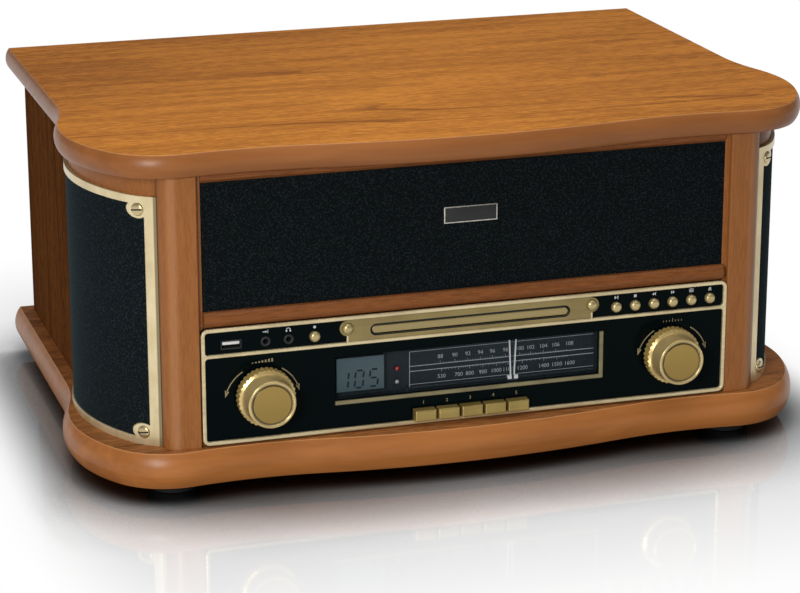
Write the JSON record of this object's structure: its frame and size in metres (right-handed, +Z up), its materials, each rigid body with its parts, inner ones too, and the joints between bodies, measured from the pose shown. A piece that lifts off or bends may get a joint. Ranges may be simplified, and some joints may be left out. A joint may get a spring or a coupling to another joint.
{
  "type": "wooden music centre with turntable",
  "caption": "Retro wooden table-top music centre: turntable under a hinged lid, disc tray, radio dial with knobs and keys, side cassette slot, corner speaker grilles.",
  "frame": {"origin": "centre of the footprint, on the surface that the feet stand on", "axes": "+X to the right seen from the front, +Y to the back, +Z up"},
  "size_m": [0.4994, 0.35, 0.225],
  "materials": {
    "lacquered_wood": "satin lacquer over warm brown veneer",
    "grille_cloth": "black speaker cloth",
    "gilt_plastic": "champagne gold metallised plastic",
    "gloss_black": "polished black",
    "black_plastic": "fine grained black moulding",
    "dial_face": "printed slate dial and display",
    "clear_window": "clear moulded window",
    "pointer_white": "white pointer",
    "rubber": "matt black rubber",
    "platter_metal": "satin aluminium",
    "steel": "plated steel",
    "back_board": "black stained fibreboard",
    "circuit_board": "green laminate with components"
  },
  "bodies": {
    "cabinet": {"base_board": "lacquered_wood", "left_side_panel": "lacquered_wood", "right_side_panel": "lacquered_wood", "corner_panels": "lacquered_wood", "front_posts": "lacquered_wood", "top_rail": "lacquered_wood", "middle_rail": "lacquered_wood", "corner_grilles": "grille_cloth", "front_grille": "grille_cloth", "corner_trims": "gilt_plastic", "fascia_trim": "gilt_plastic", "disc_escutcheon": "gilt_plastic", "dial_bezel": "gilt_plastic", "fascia_panel": "gloss_black", "disc_mechanism": "black_plastic", "deck_plate": "black_plastic", "cassette_bezel": "black_plastic", "speaker_drivers": "black_plastic", "rear_fittings": "black_plastic", "dial_scale": "dial_face", "display_module": "dial_face", "dial_window": "clear_window", "feet": "rubber", "drive_belt": "rubber", "spindle": "steel", "hinge_brackets": "steel", "drive_motor": "steel", "control_pots": "steel", "front_sockets": "steel", "rear_panel": "back_board", "main_board": "circuit_board"},
    "lid": {"lid": "lacquered_wood", "lid_fittings": "steel"},
    "lid_stay": {"lid_stay": "steel"},
    "disc_tray": {"disc_tray": "black_plastic"},
    "volume_knob": {"volume_knob": "gilt_plastic"},
    "tuning_knob": {"tuning_knob": "gilt_plastic"},
    "dial_pointer": {"dial_pointer": "pointer_white"},
    "platter": {"platter": "platter_metal", "platter_mat": "rubber"},
    "motor_pulley": {"motor_pulley": "black_plastic"},
    "tonearm_base": {"tonearm_base": "black_plastic"},
    "tonearm": {"tonearm": "platter_metal", "cartridge": "black_plastic"},
    "cue_lever": {"cue_lever": "black_plastic"},
    "speed_selector": {"speed_selector": "black_plastic"},
    "cassette_flap": {"cassette_flap": "black_plastic"},
    "eject_key": {"eject_key": "black_plastic"},
    "tuner_key": {"tuner_key": "gilt_plastic"},
    "disc_key": {"disc_key": "gilt_plastic"},
    "tape_key": {"tape_key": "gilt_plastic"},
    "phono_key": {"phono_key": "gilt_plastic"},
    "tone_key": {"tone_key": "gilt_plastic"},
    "play_button": {"play_button": "gilt_plastic"},
    "stop_button": {"stop_button": "gilt_plastic"},
    "previous_button": {"previous_button": "gilt_plastic"},
    "next_button": {"next_button": "gilt_plastic"},
    "program_button": {"program_button": "gilt_plastic"},
    "tray_button": {"tray_button": "gilt_plastic"},
    "record_button": {"record_button": "gilt_plastic"}
  },
  "joints": [
    {"name": "lid_hinge", "type": "hinge", "parent": "cabinet", "child": "lid", "pos_m": [0, 0.1692, 0.21], "axis": [-1, 0, 0], "range_deg": [0, 75]},
    {"name": "lid_stay_pivot", "type": "hinge", "parent": "lid", "child": "lid_stay", "pos_m": [-0.2112, 0.07956, 0.202], "axis": [-1, 0, 0], "range_deg": [-37.5, 0]},
    {"name": "disc_tray_slide", "type": "slide", "parent": "cabinet", "child": "disc_tray", "axis": [0, -1, 0], "range_m": [0, 0.13]},
    {"name": "volume_turn", "type": "hinge", "parent": "cabinet", "child": "volume_knob", "pos_m": [-0.1368, -0.154, 0.0652], "axis": [0, 1, 0], "range_deg": [-150, 150]},
    {"name": "tuning_turn", "type": "hinge", "parent": "cabinet", "child": "tuning_knob", "pos_m": [0.1368, -0.154, 0.0652], "axis": [0, 1, 0], "range_deg": [-990, 810]},
    {"name": "pointer_slide", "type": "slide", "parent": "cabinet", "child": "dial_pointer", "axis": [1, 0, 0], "range_m": [-0.055, 0.045]},
    {"name": "tuner_key_press", "type": "slide", "parent": "cabinet", "child": "tuner_key", "axis": [0, 1, 0], "range_m": [0, 0.0035], "stiffness_N_per_m": 300},
    {"name": "disc_key_press", "type": "slide", "parent": "cabinet", "child": "disc_key", "axis": [0, 1, 0], "range_m": [0, 0.0035], "stiffness_N_per_m": 300},
    {"name": "tape_key_press", "type": "slide", "parent": "cabinet", "child": "tape_key", "axis": [0, 1, 0], "range_m": [0, 0.0035], "stiffness_N_per_m": 300},
    {"name": "phono_key_press", "type": "slide", "parent": "cabinet", "child": "phono_key", "axis": [0, 1, 0], "range_m": [0, 0.0035], "stiffness_N_per_m": 300},
    {"name": "tone_key_press", "type": "slide", "parent": "cabinet", "child": "tone_key", "axis": [0, 1, 0], "range_m": [0, 0.0035], "stiffness_N_per_m": 300},
    {"name": "play_button_press", "type": "slide", "parent": "cabinet", "child": "play_button", "axis": [0, 1, 0], "range_m": [0, 0.0012], "stiffness_N_per_m": 700},
    {"name": "stop_button_press", "type": "slide", "parent": "cabinet", "child": "stop_button", "axis": [0, 1, 0], "range_m": [0, 0.0012], "stiffness_N_per_m": 700},
    {"name": "previous_button_press", "type": "slide", "parent": "cabinet", "child": "previous_button", "axis": [0, 1, 0], "range_m": [0, 0.0012], "stiffness_N_per_m": 700},
    {"name": "next_button_press", "type": "slide", "parent": "cabinet", "child": "next_button", "axis": [0, 1, 0], "range_m": [0, 0.0012], "stiffness_N_per_m": 700},
    {"name": "program_button_press", "type": "slide", "parent": "cabinet", "child": "program_button", "axis": [0, 1, 0], "range_m": [0, 0.0012], "stiffness_N_per_m": 700},
    {"name": "tray_button_press", "type": "slide", "parent": "cabinet", "child": "tray_button", "axis": [0, 1, 0], "range_m": [0, 0.0012], "stiffness_N_per_m": 700},
    {"name": "record_button_press", "type": "slide", "parent": "cabinet", "child": "record_button", "axis": [0, 1, 0], "range_m": [0, 0.0012], "stiffness_N_per_m": 700},
    {"name": "platter_spin", "type": "hinge", "parent": "cabinet", "child": "platter", "pos_m": [-0.042, 0.0075, 0.1815], "axis": [0, 0, -1], "continuous": true},
    {"name": "pulley_spin", "type": "hinge", "parent": "cabinet", "child": "motor_pulley", "pos_m": [-0.121, -0.032, 0.1745], "axis": [0, 0, -1], "continuous": true},
    {"name": "arm_swing", "type": "hinge", "parent": "cabinet", "child": "tonearm_base", "pos_m": [0.135, 0.1005, 0.197], "axis": [0, 0, 1], "range_deg": [-48, 0]},
    {"name": "arm_lift", "type": "hinge", "parent": "tonearm_base", "child": "tonearm", "pos_m": [0.135, 0.1005, 0.197], "axis": [-1, 0, 0], "range_deg": [0, 2]},
    {"name": "cue_lift", "type": "hinge", "parent": "cabinet", "child": "cue_lever", "pos_m": [0.172, 0.086, 0.175], "axis": [-1, 0, 0], "range_deg": [0, 60]},
    {"name": "speed_turn", "type": "hinge", "parent": "cabinet", "child": "speed_selector", "pos_m": [0.168, -0.074, 0.167], "axis": [0, 0, 1], "range_deg": [-25, 25]},
    {"name": "cassette_flap_swing", "type": "hinge", "parent": "cabinet", "child": "cassette_flap", "pos_m": [0.2262, 0.101, 0.1154], "axis": [0, 1, 0], "range_deg": [0, 80], "stiffness_Nm_per_rad": 0.004},
    {"name": "eject_press", "type": "slide", "parent": "cabinet", "child": "eject_key", "axis": [-1, 0, 0], "range_m": [0, 0.0025], "stiffness_N_per_m": 400}
  ],
  "couplings": [
    {"joint": "lid_stay_pivot", "follows": "lid_hinge", "ratio": -0.5},
    {"joint": "pointer_slide", "follows": "tuning_turn", "m_per_rad": 0.0031831},
    {"joint": "pulley_spin", "follows": "platter_spin", "ratio": 11.299}
  ]
}
